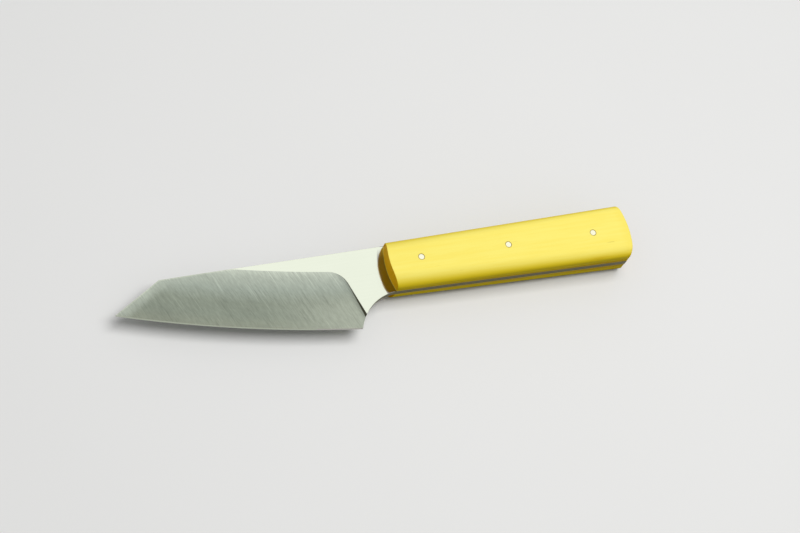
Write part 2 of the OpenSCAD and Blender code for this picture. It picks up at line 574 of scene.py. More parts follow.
@dataclass(frozen=True)
class YellowWood(Finish):
    """Close, even yellow wood, oiled: faint lengthwise grain, amber near the belly, gold ends, a
    painted sheen that leaves the broad faces paler than the rounded sides, and a painted highlight
    along the foot of the ends.
    """

    pale: Colour = tint(0.99, 0.87, 0.20)
    deep: Colour = tint(0.975, 0.82, 0.155)
    # side is the rounded sides' deeper yellow; the paler broad faces are a painted sheen.
    side: Colour = tint(0.97, 0.74, 0.02)
    amber: Colour = tint(0.80, 0.50, 0.006)
    streak: Colour = tint(0.30, 0.17, 0.012)
    end: Colour = tint(0.96, 0.50, 0.0)
    # foot_highlight is a painted highlight along the foot of the ends, by the glue.
    foot_highlight: Colour = tint(1.0, 0.70, 0.06)
    roughness: float = 0.45
    roughness_weight: float = 0.12
    gloss: float = 0.03
    figure_weights: Weights = (0.35, 0.45, 0.2)
    warm_level: float = -0.16
    warm_weights: Weights = (0.4, 0.6, 0.30, 0.12)
    amber_share: float = 0.85
    dash_level: float = -0.03
    dash_weights: Weights = (1.0, 0.10)
    dash_share: float = 0.7
    end_level: float = 0.8
    end_weight: float = 0.3
    foot_highlight_share: float = 0.8
    lean: float = 0.012
    ring_stretch: Point = (7.0, 190.0, 190.0)
    grain_stretch: Point = (45.0, 900.0, 900.0)
    fibre_stretch: Point = (130.0, 4200.0, 4200.0)
    dash_stretch: Point = (70.0, 1300.0, 1300.0)
    grain_depth: float = 0.00002
    grain_strength: float = 0.2
    grain_weights: Weights = (0.5, 0.5)
    figure_mask: Span = (0.34, 0.66)
    dash_mask: Span = (0.74, 0.83)
    warm_mask: Span = (0.46, 0.60)
    end_mask: Span = (0.35, 0.8)
    sheen_mask: Span = (0.05, 0.95)
    belly_y: float = 0.0
    belly_reach: float = 0.005
    butt_x: float = 0.0
    butt_reach: Span = (0.036, 0.004)
    butt_strip: float = 0.006
    butt_share: float = 0.8
    middle_z: float = 0.0
    glue_reach: Span = (0.0018, 0.0042)
    foot_highlight_reach: Span = (0.0019, 0.0026)

    def looks(self, sheet: ShaderSheet) -> Looks:
        """Returns the wood's looks."""
        rings = sheet.streaks(self.lean, self.ring_stretch, 2.0)
        grain = sheet.streaks(self.lean, self.grain_stretch, 4.0, 0.6)
        fibre = sheet.streaks(self.lean, self.fibre_stretch, 2.0)
        spread = sheet.streaks(self.lean, self.dash_stretch, 1.0)
        low = 1 - sheet.axis("Y").between(self.belly_y, self.belly_y + self.belly_reach)
        near_butt = sheet.axis("X").between(*(self.butt_x - reach for reach in self.butt_reach))
        by_butt = sheet.axis("X").between(self.butt_x - self.butt_strip, self.butt_x)
        normal = sheet.node("ShaderNodeTexCoord", {}, {}, "Normal")
        across, upright = (
            sheet.node("ShaderNodeSeparateXYZ", {}, {"Vector": normal}, axis) for axis in ("X", "Z")
        )
        height = sheet.axis("Z") - self.middle_z
        near_glue, foot_highlight = (
            1 - (height * height).between(near**2, far**2)
            for near, far in (self.glue_reach, self.foot_highlight_reach)
        )
        figure = weighed(0.0, (rings, grain, fibre), self.figure_weights)
        figure = figure.between(*self.figure_mask) - by_butt * self.butt_share
        face = sheet.mix(figure, self.deep, self.pale)
        # Painted sheen: faces that look up or down are paler than the rounded sides.
        wood = sheet.mix((upright * upright).between(*self.sheen_mask), self.side, face)
        warm = weighed(self.warm_level, (rings, grain, near_glue, near_butt), self.warm_weights)
        warm = low * warm.between(*self.warm_mask)
        wood = sheet.mix(warm * self.amber_share, wood, self.amber)
        dashes = weighed(self.dash_level, (spread, low * near_butt), self.dash_weights)
        wood = sheet.mix(dashes.between(*self.dash_mask) * self.dash_share, wood, self.streak)
        end_grain = (across * across).between(*self.end_mask)
        end_grain = end_grain * (self.end_level + fibre * self.end_weight)
        # Painted highlight along the foot of the ends.
        end = sheet.mix(foot_highlight * self.foot_highlight_share, self.end, self.foot_highlight)
        relief = weighed(0.0, (grain, fibre), self.grain_weights)
        return {
            "Base Color": sheet.mix(end_grain, wood, end),
            "Roughness": self.roughness + grain * self.roughness_weight,
            "Specular IOR Level": self.gloss,
            "Normal": sheet.bump(relief, self.grain_depth, self.grain_strength),
        }


@dataclass(frozen=True)
class PaleFloor(Finish):
    """A floor that is pale to the eye and throws little light back on the knife."""

    tone: Colour = tint(0.80, 0.80, 0.79)
    bounce: float = 0.08
    roughness: float = 0.9
    gloss: float = 0.1
    cloud_scale: float = 9.0
    cloud_share: float = 0.08

    def looks(self, sheet: ShaderSheet) -> Looks:
        """Returns the floor's looks."""
        clouds = sheet.noise(sheet.place(), self.cloud_scale)
        pale = sheet.mix(clouds * self.cloud_share, self.tone, grey(1.0))
        return {
            "Base Color": sheet.mix(sheet.shown(), grey(self.bounce), pale),
            "Roughness": self.roughness,
            "Specular IOR Level": self.gloss,
        }


# ---- Modelling


class Workpiece:
    """A mesh on the bench, worked in millimetres in plan. Only it is selected meanwhile."""

    def __init__(self, obj: bpy.types.Object, name: str, materials: Materials) -> None:
        """Takes a fresh primitive to the bench.

        Args:
            obj: the primitive.
            name: its name from here on.
            materials: its materials, in order.
        """
        self.obj = obj
        self.pen = Vector()
        obj.name = obj.data.name = name
        for material in materials:
            obj.data.materials.append(material)
        self.hold()
        bpy.ops.object.transform_apply(location=True, rotation=True, scale=True)

    @classmethod
    def block(cls, name: str, low: Point, high: Point, materials: Materials) -> "Workpiece":
        """Returns a box between two corners."""
        cls.clear()
        sizes = [b - a for a, b in zip(low, high)]
        middle = [(a + b) / 2 for a, b in zip(low, high)]
        bpy.ops.mesh.primitive_cube_add(size=1, location=middle, scale=sizes)
        return cls(bpy.context.active_object, name, materials)

    @classmethod
    def turning(
        cls, name: str, foot: Point, radii: Span, height: float, sides: int, materials: Materials
    ) -> "Workpiece":
        """Returns an upright round piece.

        Args:
            name: its name.
            foot: centre of its lower end.
            radii: radius at the lower and upper end.
            height: its height.
            sides: its number of sides.
            materials: its materials.

        Returns:
            The piece.
        """
        cls.clear()
        middle = (foot[0], foot[1], foot[2] + height / 2)
        bpy.ops.mesh.primitive_cone_add(
            vertices=sides, radius1=radii[0], radius2=radii[1], depth=height, location=middle
        )
        return cls(bpy.context.active_object, name, materials)

    @classmethod
    def drawn(cls, name: str, start: Point, materials: Materials) -> "Workpiece":
        """Returns the single starting point of an outline."""
        cls.clear()
        bpy.ops.mesh.primitive_plane_add(size=1, location=start)
        piece = cls(bpy.context.active_object, name, materials).whole()
        bpy.ops.mesh.merge(type="COLLAPSE")
        piece.pen = Vector(start)
        return piece

    @staticmethod
    def clear() -> None:
        """Leaves edit mode and deselects everything."""
        if bpy.context.mode != "OBJECT":
            bpy.ops.object.mode_set(mode="OBJECT")
        bpy.ops.object.select_all(action="DESELECT")

    def hold(self) -> None:
        """Makes this the only selected piece."""
        self.clear()
        self.obj.select_set(True)
        bpy.context.view_layer.objects.active = self.obj

    def edit(self, kind: str) -> None:
        """Enters edit mode with nothing selected, picking VERT, EDGE or FACE."""
        self.hold()
        bpy.ops.object.mode_set(mode="EDIT")
        bpy.ops.mesh.select_mode(type=kind)
        bpy.ops.mesh.select_all(action="DESELECT")

    def whole(self, kind: str = "VERT") -> "Workpiece":
        """Enters edit mode with everything selected."""
        self.edit(kind)
        bpy.ops.mesh.select_all(action="SELECT")
        return self

    def modify(self, kind: str, **settings: Any) -> "Workpiece":
        """Applies one modifier of a kind with the given settings."""
        self.hold()
        step = self.obj.modifiers.new(kind.lower(), kind)
        for name, value in settings.items():
            setattr(step, name, value)
        bpy.ops.object.modifier_apply(modifier=step.name)
        return self

    def pick(self, kind: str, test: Test) -> int:
        """Selects by place or normal, in edit mode.

        Args:
            kind: VERT, EDGE or FACE.
            test: says of a vertex, edge or face whether it is picked.

        Returns:
            How many were picked.
        """
        self.edit(kind)
        mesh = bmesh.from_edit_mesh(self.obj.data)
        items = {"VERT": mesh.verts, "EDGE": mesh.edges, "FACE": mesh.faces}[kind]
        chosen = [item for item in items if test(item)]
        for item in chosen:
            item.select_set(True)
        bmesh.update_edit_mesh(self.obj.data)
        return len(chosen)

    def line_to(self, end: Point) -> "Workpiece":
        """Draws a straight line from the pen to a point."""
        target = Vector(end)
        bpy.ops.mesh.extrude_region_move(TRANSFORM_OT_translate={"value": target - self.pen})
        self.pen = target
        return self

    def arc_to(self, centre: Vector, end: Vector, steps: int) -> "Workpiece":
        """Draws an arc from the pen, the short way round a centre in plan.

        Args:
            centre: centre of the arc.
            end: where the arc ends, in plan.
            steps: its number of straight parts.

        Returns:
            The piece itself.
        """
        sweep = (flat(self.pen) - centre).angle_signed(end - centre)
        bpy.ops.mesh.spin(steps=steps, angle=sweep, center=at(centre, self.pen.z), axis=(0, 0, 1))
        self.pen = Vector(at(end, self.pen.z))
        return self

    def close(self) -> "Workpiece":
        """Closes the outline with one face."""
        bpy.ops.mesh.select_all(action="SELECT")
        bpy.ops.mesh.remove_doubles(threshold=0.001)
        bpy.ops.mesh.edge_face_add()
        return self

    def weld(self, gap: float) -> "Workpiece":
        """Joins points that lie closer than a gap."""
        self.whole()
        bpy.ops.mesh.remove_doubles(threshold=gap)
        return self

    def level(self, height: float, gap: float) -> "Workpiece":
        """Puts points that lie within a gap of a height exactly there."""
        self.pick("VERT", lambda v: abs(v.co.z - height) < gap)
        bpy.ops.transform.resize(value=(1, 1, 0), center_override=(0, 0, height))
        return self

    def thicken(self, height: float) -> "Workpiece":
        """Makes the closed outline a plate of a given height."""
        bpy.ops.mesh.select_all(action="SELECT")
        bpy.ops.mesh.extrude_region_move(TRANSFORM_OT_translate={"value": (0, 0, height)})
        return self.face_out()

    def face_out(self) -> "Workpiece":
        """Turns all faces outwards."""
        self.whole("FACE")
        bpy.ops.mesh.normals_make_consistent(inside=False)
        return self

    def ease(
        self,
        test: Test,
        width: float,
        segments: int = RIM_SEGMENTS,
        profile: float = 0.5,
        measure: str = "OFFSET",
    ) -> int:
        """Rounds the edges that a test picks.

        Args:
            test: says of an edge whether it is rounded.
            width: distance from the old edge to each new one, or across the rounding.
            segments: faces across the rounding.
            profile: 0.5 for an arc, less for a flatter rounding.
            measure: OFFSET for a distance to each new edge, WIDTH for one across.

        Returns:
            How many edges were picked.
        """
        count = self.pick("EDGE", test)
        bpy.ops.mesh.bevel(
            affect="EDGES",
            offset_type=measure,
            offset=width,
            segments=segments,
            profile=profile,
            loop_slide=False,
        )
        return count

    def ease_by_share(self, share: Callable[[Any], float], width: float, segments: int) -> None:
        """Rounds each edge by its own share of a width.

        Args:
            share: gives an edge's share, from 0 for an edge left alone to 1.
            width: distance from the old edge to each new one at a share of 1.
            segments: faces across the rounding.
        """
        self.hold()
        mesh = bmesh.new()
        mesh.from_mesh(self.obj.data)
        layer = mesh.edges.layers.float.new("bevel_weight_edge")
        for edge in mesh.edges:
            edge[layer] = share(edge)
        mesh.to_mesh(self.obj.data)
        mesh.free()
        self.modify("BEVEL", limit_method="WEIGHT", width=width, segments=segments)

    def cut(self, tool: "Workpiece", operation: str = "DIFFERENCE") -> "Workpiece":
        """Cuts with another piece, which is used up. New faces keep the tool's material."""
        settings = {"operation": operation, "solver": "EXACT", "material_mode": "TRANSFER"}
        self.modify("BOOLEAN", object=tool.obj, **settings)
        bpy.data.objects.remove(tool.obj)
        return self

    def double(self) -> "Workpiece":
        """Makes a left half whole: opens it along the middle of the steel and mirrors it there."""
        self.pick("FACE", lambda face: all(abs(v.co.z) < MESH_GAP for v in face.verts))
        bpy.ops.mesh.delete(type="FACE")
        self.modify("MIRROR", use_axis=(False, False, True), merge_threshold=MESH_GAP)
        return self.face_out()

    def flip(self) -> "Workpiece":
        """Mirrors the piece in the middle of the steel."""
        self.whole()
        bpy.ops.transform.resize(value=(1, 1, -1), center_override=(0, 0, 0))
        return self.face_out()

    def dress(self, index: int, test: Test) -> None:
        """Gives the faces that a test picks the material of that number."""
        self.pick("FACE", test)
        self.obj.active_material_index = index
        bpy.ops.object.material_slot_assign()

    def shade(self, angle: float = SHARP_TURN, crisp: Test | None = None) -> "Workpiece":
        """Shades smoothly, with sharp edges kept and flat faces left flat.

        Args:
            angle: edges that turn more than this, in radians, stay sharp.
            crisp: says of other edges whether they stay sharp too.

        Returns:
            The piece itself.
        """
        self.hold()
        bpy.ops.object.shade_smooth_by_angle(angle=angle)
        if crisp is not None:
            self.pick("EDGE", crisp)
            bpy.ops.mesh.mark_sharp()
        return self.modify("WEIGHTED_NORMAL", keep_sharp=True)

    def settle(self, rest: Vector) -> bpy.types.Object:
        """Lays the piece down in the frame, in metres.

        Args:
            rest: where the plan's origin lies, in metres.

        Returns:
            The finished object, at the origin with its place in its mesh.
        """
        self.hold()
        self.obj.scale = (MM, MM, MM)
        self.obj.location = rest
        bpy.ops.object.transform_apply(location=True, rotation=True, scale=True)
        return self.obj


def turn_between(edge: bmesh.types.BMEdge) -> float:
    """Returns the angle that a surface turns by across an edge, or 0 at a loose one."""
    return edge.calc_face_angle(0.0) if edge.is_manifold else 0.0


def mean_height(edge: bmesh.types.BMEdge) -> float:
    """Returns the height of an edge's middle."""
    return (edge.verts[0].co.z + edge.verts[1].co.z) / 2


# ---- The knife


@dataclass(frozen=True)
class KnifePlan:
    """The maker's drawing: the sizes that blade and handle share, in millimetres and radians.

    Its origin is laid at rest, a point of the frame, in metres.
    """

    rest: Vector
    blade_length: float = 104.5
    blade_depth: float = 36.3
    tip_drop: float = 12.8
    clip_angle: float = math.radians(30.2)
    edge_radius: float = 571.0
    steel: float = 3.0
    handle_length: float = 115.0
    neck: float = 17.7
    front_height: float = 22.0
    butt_height: float = 24.9
    notch_radius: float = 21.4
    front_radius: float = 35.4
    front_lean: float = math.radians(4.5)
    butt_radius: float = 40.0
    scale: float = 8.3
    film: float = 0.1
    pin: float = 3.0
    pin_gap: float = 0.1
    front_setback: float = 14.2
    rear_setback: float = 17.9

    @property
    def tip(self) -> Vector:
        """The tip."""
        return Vector((0.0, -self.tip_drop))

    @property
    def heel(self) -> Vector:
        """The heel."""
        return Vector((self.blade_length, -self.blade_depth))

    @property
    def clip_end(self) -> Vector:
        """Where the clipped line meets the spine."""
        return Vector((self.tip_drop / math.tan(self.clip_angle), 0.0))

    @property
    def edge_up(self) -> Vector:
        """Square to the line from tip to heel, towards the spine."""
        chord = self.heel - self.tip
        return Vector((-chord.y, chord.x)).normalized()

    @property
    def edge_centre(self) -> Vector:
        """Centre of the bowed cutting edge."""
        half = (self.heel - self.tip).length / 2
        rise = math.sqrt(self.edge_radius**2 - half**2)
        return (self.tip + self.heel) / 2 + self.edge_up * rise

    @property
    def front(self) -> float:
        """Where the middle of the handle's front is."""
        return self.blade_length + self.neck

    @property
    def butt(self) -> float:
        """Where the middle of the butt is."""
        return self.front + self.handle_length

    @property
    def flare(self) -> float:
        """Angle of the belly line."""
        return math.atan((self.butt_height - self.front_height) / self.handle_length)

    @property
    def belly_along(self) -> Vector:
        """Direction of the belly line, towards the butt."""
        return turned(-self.flare)

    @property
    def belly_out(self) -> Vector:
        """Direction square to the belly line, away from the handle."""
        return turned(-self.flare - math.pi / 2)

    @property
    def notch_centre(self) -> Vector:
        """Centre of the notch, which runs from the heel smoothly into the belly line."""
        base = Vector((self.front, -self.front_height)) + self.belly_out * self.notch_radius
        from_heel = base - self.heel
        along = from_heel @ self.belly_along
        reach = math.sqrt(along**2 - from_heel.length_squared + self.notch_radius**2)
        return base + self.belly_along * (reach - along)

    @property
    def notch_end(self) -> Vector:
        """Where the notch runs into the belly line."""
        return self.notch_centre - self.belly_out * self.notch_radius

    @property
    def front_centre(self) -> Vector:
        """Centre of the bowed front of the scales."""
        return Vector((self.front + self.front_radius, -self.front_height / 2))

    @property
    def butt_centre(self) -> Vector:
        """Centre of the bowed butt."""
        return Vector((self.butt - self.butt_radius, -self.butt_height / 2))

    @property
    def total(self) -> float:
        """Thickness of the whole handle."""
        return self.steel + 2 * (self.film + self.scale)

    @property
    def foot(self) -> float:
        """Height of the left scale's inner face above the middle of the steel."""
        return self.steel / 2 + self.film

    def laid(self, place: Vector) -> Point:
        """Returns where a place in plan comes to lie in the frame, in metres."""
        return tuple(place.to_3d() * MM + self.rest)

    def belly(self, x: float) -> float:
        """Returns the height of the belly line at x."""
        return -self.front_height - (x - self.front) * math.tan(self.flare)

    def butt_corner(self, out: Vector, along: Vector, through: Vector) -> Vector:
        """Returns where the butt meets the side through a point, given the side's directions."""
        height = (through - self.butt_centre) @ out
        return self.butt_centre + out * height + along * math.sqrt(self.butt_radius**2 - height**2)

    def pin_places(self) -> list[Vector]:
        """Returns the places of the three pins, front first."""
        first = self.front + self.front_setback
        pitch = (self.handle_length - self.front_setback - self.rear_setback) / 2
        return [Vector((x, self.belly(x) / 2)) for x in (first, first + pitch, first + 2 * pitch)]

    def drill(self, piece: Workpiece, materials: Materials) -> None:
        """Drills the holes for pins and glue through a piece."""
        radii = (self.pin / 2 + self.pin_gap,) * 2
        for place in self.pin_places():
            foot, height = at(place, -self.total), 2 * self.total
            piece.cut(Workpiece.turning("drill", foot, radii, height, ROUND_SIDES, materials))
        piece.weld(DRILL_GAP)


@dataclass
class Blade:
    """The steel plate: ground blade, ricasso, notch and full tang."""

    plan: KnifePlan
    bevel_width: float = 26.7
    micro_width: float = 0.5
    micro_thickness: float = 0.3
    corner_radius: float = 9.5
    plunge_lean: float = math.radians(15.6)
    plunge_back: float = 4.9
    plunge_slope: float = math.radians(35)
    notch_steps: int = 40
    butt_steps: int = 36
    corner_steps: int = 16
    belt_start: float = math.radians(1.4)
    belt_sweep: float = math.radians(14.5)
    belt_steps: int = 116
    belt_rounding: float = 0.9
    belt_segments: int = 5
    rim_rounding: float = 0.22
    rim_turn: float = math.radians(60)
    rim_past_front: float = 1.5
    side_slope: float = 0.8
    bevel_slope: Span = (0.998, 0.9995)
    honed_slope: float = 0.9
    spare: float = 2.0
    materials: Materials = field(default_factory=list)

    @property
    def grind_radius(self) -> float:
        """Radius of the grind line about the centre of the edge."""
        return self.plan.edge_radius - self.bevel_width

    @property
    def plunge_along(self) -> Vector:
        """Direction of the plunge line, away from the spine."""
        return turned(self.plunge_lean - math.pi / 2)

    @property
    def plunge_out(self) -> Vector:
        """Direction square to the plunge line, towards the handle."""
        return turned(self.plunge_lean)

    @property
    def corner_centre(self) -> Vector:
        """Centre of the rounded corner between grind line and plunge line."""
        base = self.plan.heel + Vector((self.plunge_back, 0)) - self.plunge_out * self.corner_radius
        from_edge = base - self.plan.edge_centre
        down = from_edge @ self.plunge_along
        reach = (self.grind_radius + self.corner_radius) ** 2 - from_edge.length_squared
        return base + self.plunge_along * (math.sqrt(down**2 + reach) - down)

    def from_edge_centre(self, place: Any) -> float:
        """Returns a point's distance from the centre of the edge."""
        return (flat(place) - self.plan.edge_centre).length

    def finishes(self) -> Materials:
        """Returns the materials of flats, sides, bevels, fine bevels and plunge walls."""
        plan, origin = self.plan, self.plan.rest
        wall = self.corner_centre + self.plunge_out * self.corner_radius
        polished = PolishedSteel(
            "polished_flats",
            handle_centre=plan.laid(plan.front_centre),
            handle_radius=plan.front_radius * MM,
            spine_y=origin.y,
        )
        ground = GroundSteel(
            "ground_bevel",
            scratch_turn=math.radians(-21.5),
            centre=plan.laid(plan.edge_centre),
            grind_line=self.grind_radius * MM,
            width=self.bevel_width * MM,
            tip=plan.laid(plan.tip),
            clip_inward=at(turned(plan.clip_angle - math.pi / 2), 0.0),
            heel_x=plan.laid(plan.heel)[0],
            spine_y=origin.y,
            plunge=plan.laid(wall),
            plunge_out=at(self.plunge_out, 0.0),
        )
        honed = PolishedSteel("honed_edge", tint(0.40, 0.43, 0.35), tint(0.33, 0.355, 0.29))
        plunge = PlungeSteel(
            "plunge_wall",
            low_y=plan.heel.y * 0.75 * MM + origin.y,
            high_y=(self.corner_centre.y + self.corner_radius) * MM + origin.y,
        )
        kinds = (polished, SandedSteel("sanded_sides"), ground, honed, plunge)
        return [finish.material() for finish in kinds]

    def half_plate(self) -> Workpiece:
        """Returns the left half, with eased rims and spare steel outside the cutting edge."""
        plan, half = self.plan, self.plan.steel / 2
        spine = Vector((0.0, 1.0))
        forward = turned(plan.clip_angle)
        low_corner = plan.butt_corner(plan.belly_out, plan.belly_along, plan.notch_end)
        high_corner = plan.butt_corner(spine, Vector((1.0, 0.0)), plan.clip_end)
        past_heel = plan.heel - plan.notch_centre
        past_heel.rotate(Matrix.Rotation(self.spare / plan.notch_radius, 2))
        below_edge = plan.edge_centre - plan.edge_up * (plan.edge_radius + self.spare)
        before_tip = plan.tip - forward * self.spare
        piece = Workpiece.drawn("knife_plate", at(low_corner, 0.0), self.materials)
        piece.line_to(at(plan.notch_end, 0.0))
        piece.arc_to(plan.notch_centre, plan.notch_centre + past_heel, self.notch_steps)
        by_handle = Vector((plan.front, 0.0))
        for place in (below_edge, before_tip, plan.clip_end, by_handle, high_corner):
            piece.line_to(at(place, 0.0))
        piece.arc_to(plan.butt_centre, low_corner, self.butt_steps).close().thicken(half)

        def open_rim(edge: bmesh.types.BMEdge) -> bool:
            """Says whether an edge is a rim of the plate that a hand can touch."""
            limit = plan.edge_radius + self.spare / 3
            reached = all(
                abs(v.co.z - half) < NEAR
                and self.from_edge_centre(v.co) < limit
                and v.co.x < plan.front + self.rim_past_front
                for v in edge.verts
            )
            return reached and turn_between(edge) > self.rim_turn

        count = piece.ease(open_rim, self.rim_rounding)
        LOG.info("plate: %d rim edges eased on each side", count)
        piece.dress(1, lambda face: abs(face.normal.z) < self.side_slope)
        return piece

    def wheel(self) -> Workpiece:
        """Returns what the grinding belt takes off above the left side."""
        plan, half = self.plan, self.plan.steel / 2
        run_up, past, top = 10.0, 5.0, half + 2.5
        fine = self.micro_thickness / 2
        slope = (half - fine) / (self.bevel_width - self.micro_width)
        tip_side = plan.tip - plan.edge_centre
        first = turned(math.atan2(tip_side.y, tip_side.x) - self.belt_start)

        def spot(radius: float, height: float) -> Point:
            """Returns a point of the profile."""
            return at(plan.edge_centre + first * radius, height)

        inner = self.grind_radius - run_up
        outer = plan.edge_radius + past
        piece = Workpiece.drawn("wheel", spot(inner, half + run_up * slope), self.materials[2:3])
        piece.line_to(spot(plan.edge_radius - self.micro_width, fine))
        piece.line_to(spot(outer, -past * fine / self.micro_width))
        piece.line_to(spot(outer, top)).line_to(spot(inner, top)).close()
        middle = at(plan.edge_centre, 0.0)
        bpy.ops.mesh.spin(
            steps=self.belt_steps, angle=-self.belt_sweep, center=middle, axis=(0, 0, 1)
        )
        piece.face_out().cut(self.reach(), "INTERSECT").weld(WHEEL_GAP)

        def foot_of_wall(edge: bmesh.types.BMEdge) -> float:
            """Gives the share of rounding at the foot of the plunge wall, more where it is high."""
            if len(edge.link_faces) != 2:
                return 0.0
            low, high = sorted(face.normal.z for face in edge.link_faces)
            if low > -0.95 or not -0.8 < high < -0.3:
                return 0.0
            return min(1.0, max(0.0, half - mean_height(edge)))

        piece.ease_by_share(foot_of_wall, self.belt_rounding, self.belt_segments)
        return piece

    def reach(self) -> Workpiece:
        """Returns the space that the belt can reach: all ahead of the sloping plunge wall."""
        rise, deep, cap = 2.2, 1.0, 0.5
        top = self.plan.steel / 2 + rise
        radius = self.corner_radius + rise * math.tan(self.plunge_slope)
        centre = self.corner_centre
        up = (self.plan.edge_centre - centre).normalized()
        left, below, above = -15.0, -62.0, 14.0
        wall_start = centre + self.plunge_out * radius
        wall_end = wall_start + self.plunge_along * self.plan.blade_depth
        corner = at(centre + up * (radius + above), top)
        piece = Workpiece.drawn("reach", corner, self.materials[4:])
        piece.line_to(at(centre + up * radius, top)).arc_to(centre, wall_start, self.corner_steps)
        piece.line_to(at(wall_end, top)).line_to((left, below, top)).line_to((left, above, top))
        piece.close().thicken(cap)
        piece.pick("FACE", lambda face: face.normal.z < -0.9)
        drop = self.plan.steel / 2 + rise + deep
        bpy.ops.mesh.inset(thickness=drop * math.tan(self.plunge_slope), depth=drop)
        return piece.face_out()

    def build(self) -> bpy.types.Object:
        """Returns the finished plate."""
        self.materials = self.finishes()
        piece = self.half_plate().cut(self.wheel()).weld(MESH_GAP)
        piece.level(self.plan.steel / 2, LEVEL_GAP)
        self.plan.drill(piece, self.materials[1:2])
        piece.double()
        fine_line = self.plan.edge_radius - self.micro_width

        def ground(face: bmesh.types.BMFace) -> bool:
            """Says whether a face is part of the wide bevel, by its slope."""
            return self.bevel_slope[0] < abs(face.normal.z) < self.bevel_slope[1]

        def crisp(edge: bmesh.types.BMEdge) -> bool:
            """Says whether an edge bounds the wide bevel: grind line, plunge or fine bevel."""
            faces = edge.link_faces
            return len(faces) == 2 and ground(faces[0]) != ground(faces[1])

        def honed(face: bmesh.types.BMFace) -> bool:
            """Says whether a face is part of the fine bevel."""
            outside = self.from_edge_centre(face.calc_center_median()) > fine_line
            return outside and abs(face.normal.z) > self.honed_slope

        piece.dress(3, honed)
        piece.shade(crisp=crisp)
        blade = piece.settle(self.plan.rest)
        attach(blade, BODY)
        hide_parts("blade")
        return blade


@dataclass
class Scale:
    """A wooden slab of the handle."""

    plan: KnifePlan
    side: Side
    materials: Materials
    spine_rounding: Span = (6.7, 3.3)
    belly_rounding: Span = (6.3, 4.3)
    long_profile: float = 0.47
    long_segments: int = 14
    rim_rounding: float = 0.5
    end_sides: int = 288

    @property
    def node(self) -> str:
        """The CAD node that this slab stands for."""
        return f"{self.side.value}_scale"

    def slab(self) -> Workpiece:
        """Returns the slab with its belly line and its long roundings, smaller towards the butt."""
        plan = self.plan
        start, stop = plan.front - 6.0, plan.butt + 1
        top = plan.foot + plan.scale
        low, high = (start, plan.belly(start), plan.foot), (stop, 0.0, top)
        piece = Workpiece.block(self.node + "_wood", low, high, self.materials)
        piece.pick("VERT", lambda v: v.co.y < -1 and v.co.x > plan.butt)
        bpy.ops.transform.translate(value=(0, plan.belly(stop) - plan.belly(start), 0))

        def long_edge(edge: bmesh.types.BMEdge) -> bool:
            """Says whether an edge is a long outer one."""
            a, b = (v.co for v in edge.verts)
            return min(a.z, b.z) > top - NEAR and abs(a.x - b.x) > plan.handle_length / 2

        widest = max(self.spine_rounding + self.belly_rounding)
        piece.ease(long_edge, widest, self.long_segments, self.long_profile)
        for end, x in enumerate((start, stop)):
            sides = ((0.0, self.spine_rounding), (plan.belly(x), self.belly_rounding))
            for corner, roundings in sides:
                piece.pick(
                    "VERT",
                    lambda v: abs(v.co.x - x) < 1
                    and v.co.z > top - widest - NEAR
                    and abs(v.co.y - corner) < widest + NEAR,
                )
                share = roundings[end] / widest
                bpy.ops.transform.resize(value=(1, share, share), center_override=(x, corner, top))
        return piece

    def trim_ends(self, piece: Workpiece) -> None:
        """Cuts the bowed, leaning front and the bowed butt."""
        plan = self.plan
        foot, top = plan.foot, plan.foot + plan.scale + 2
        deep, wide = 20.0, plan.front_radius * 0.7
        front = (plan.front, plan.front_centre, plan.front_radius, math.tan(plan.front_lean))
        butt = (plan.butt, plan.butt_centre, plan.butt_radius, 0.0)
        for name, (x, centre, radius, lean) in (("front", front), ("butt", butt)):
            low, high = (x - deep, centre.y - wide, foot - 1), (x + deep, centre.y + wide, top)
            waste = Workpiece.block(f"{name}_waste", low, high, [])
            radii = (radius - 2 * lean, radius + (top + 1 - foot) * lean)
            base, height = at(centre, foot - 2), top + 3 - foot
            waste.cut(Workpiece.turning(name, base, radii, height, self.end_sides, []))
            piece.cut(waste)
        piece.weld(END_GAP)

    def build(self) -> bpy.types.Object:
        """Returns the finished slab."""
        piece = self.slab()
        self.trim_ends(piece)

        def end_rim(edge: bmesh.types.BMEdge) -> bool:
            """Says whether an edge runs round the front or the butt, above the glue."""
            clear = max(v.co.z for v in edge.verts) > self.plan.foot + NEAR
            return clear and turn_between(edge) > SHARP_TURN

        count = piece.ease(end_rim, self.rim_rounding, measure="WIDTH")
        LOG.info("%s: %d rim edges eased", self.node, count)
        self.plan.drill(piece, self.materials)
        if self.side is Side.RIGHT:
            piece.flip()
        slab = piece.shade().settle(self.plan.rest)
        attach(slab, BODY)
        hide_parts(self.node)
        return slab


